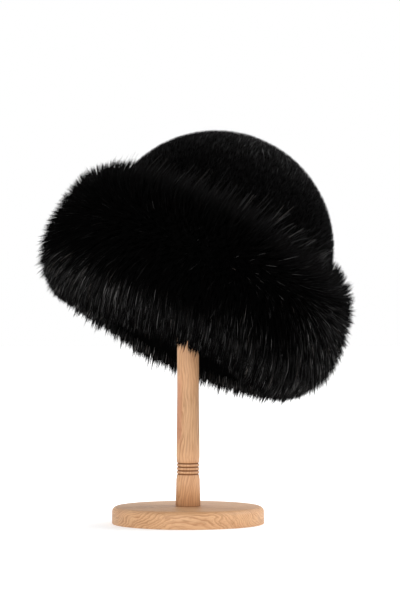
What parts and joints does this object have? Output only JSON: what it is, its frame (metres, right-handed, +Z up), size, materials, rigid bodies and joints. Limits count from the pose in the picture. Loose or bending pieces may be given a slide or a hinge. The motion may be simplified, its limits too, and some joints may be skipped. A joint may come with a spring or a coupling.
{
  "type": "faux fur hat on a wooden stand",
  "caption": "Black faux fur hat with a short-pile domed crown and a deep fur brim, leaning on the ball of a plain turned wooden stand.",
  "frame": {"origin": "centre of the base's underside, on the post's axis, on the surface that the base stands on", "axes": "+Z up along the post, the hat's front faces -Y, and the hat leans to +X and a little back to +Y"},
  "size_m": [0.2922, 0.2951, 0.3603],
  "materials": {
    "backing_cloth": "matte black knitted backing",
    "short_fur": "short dense black pile with a soft sheen",
    "deep_fur": "long glossy black fur fibres",
    "oak": "pale sanded oak with an open grain"
  },
  "bodies": {
    "root": {"crown": "backing_cloth", "crown_fur": "short_fur", "brim": "backing_cloth", "brim_fur": "deep_fur", "stand_base": "oak", "stand_post": "oak", "stand_ball": "oak"}
  },
  "joints": []
}
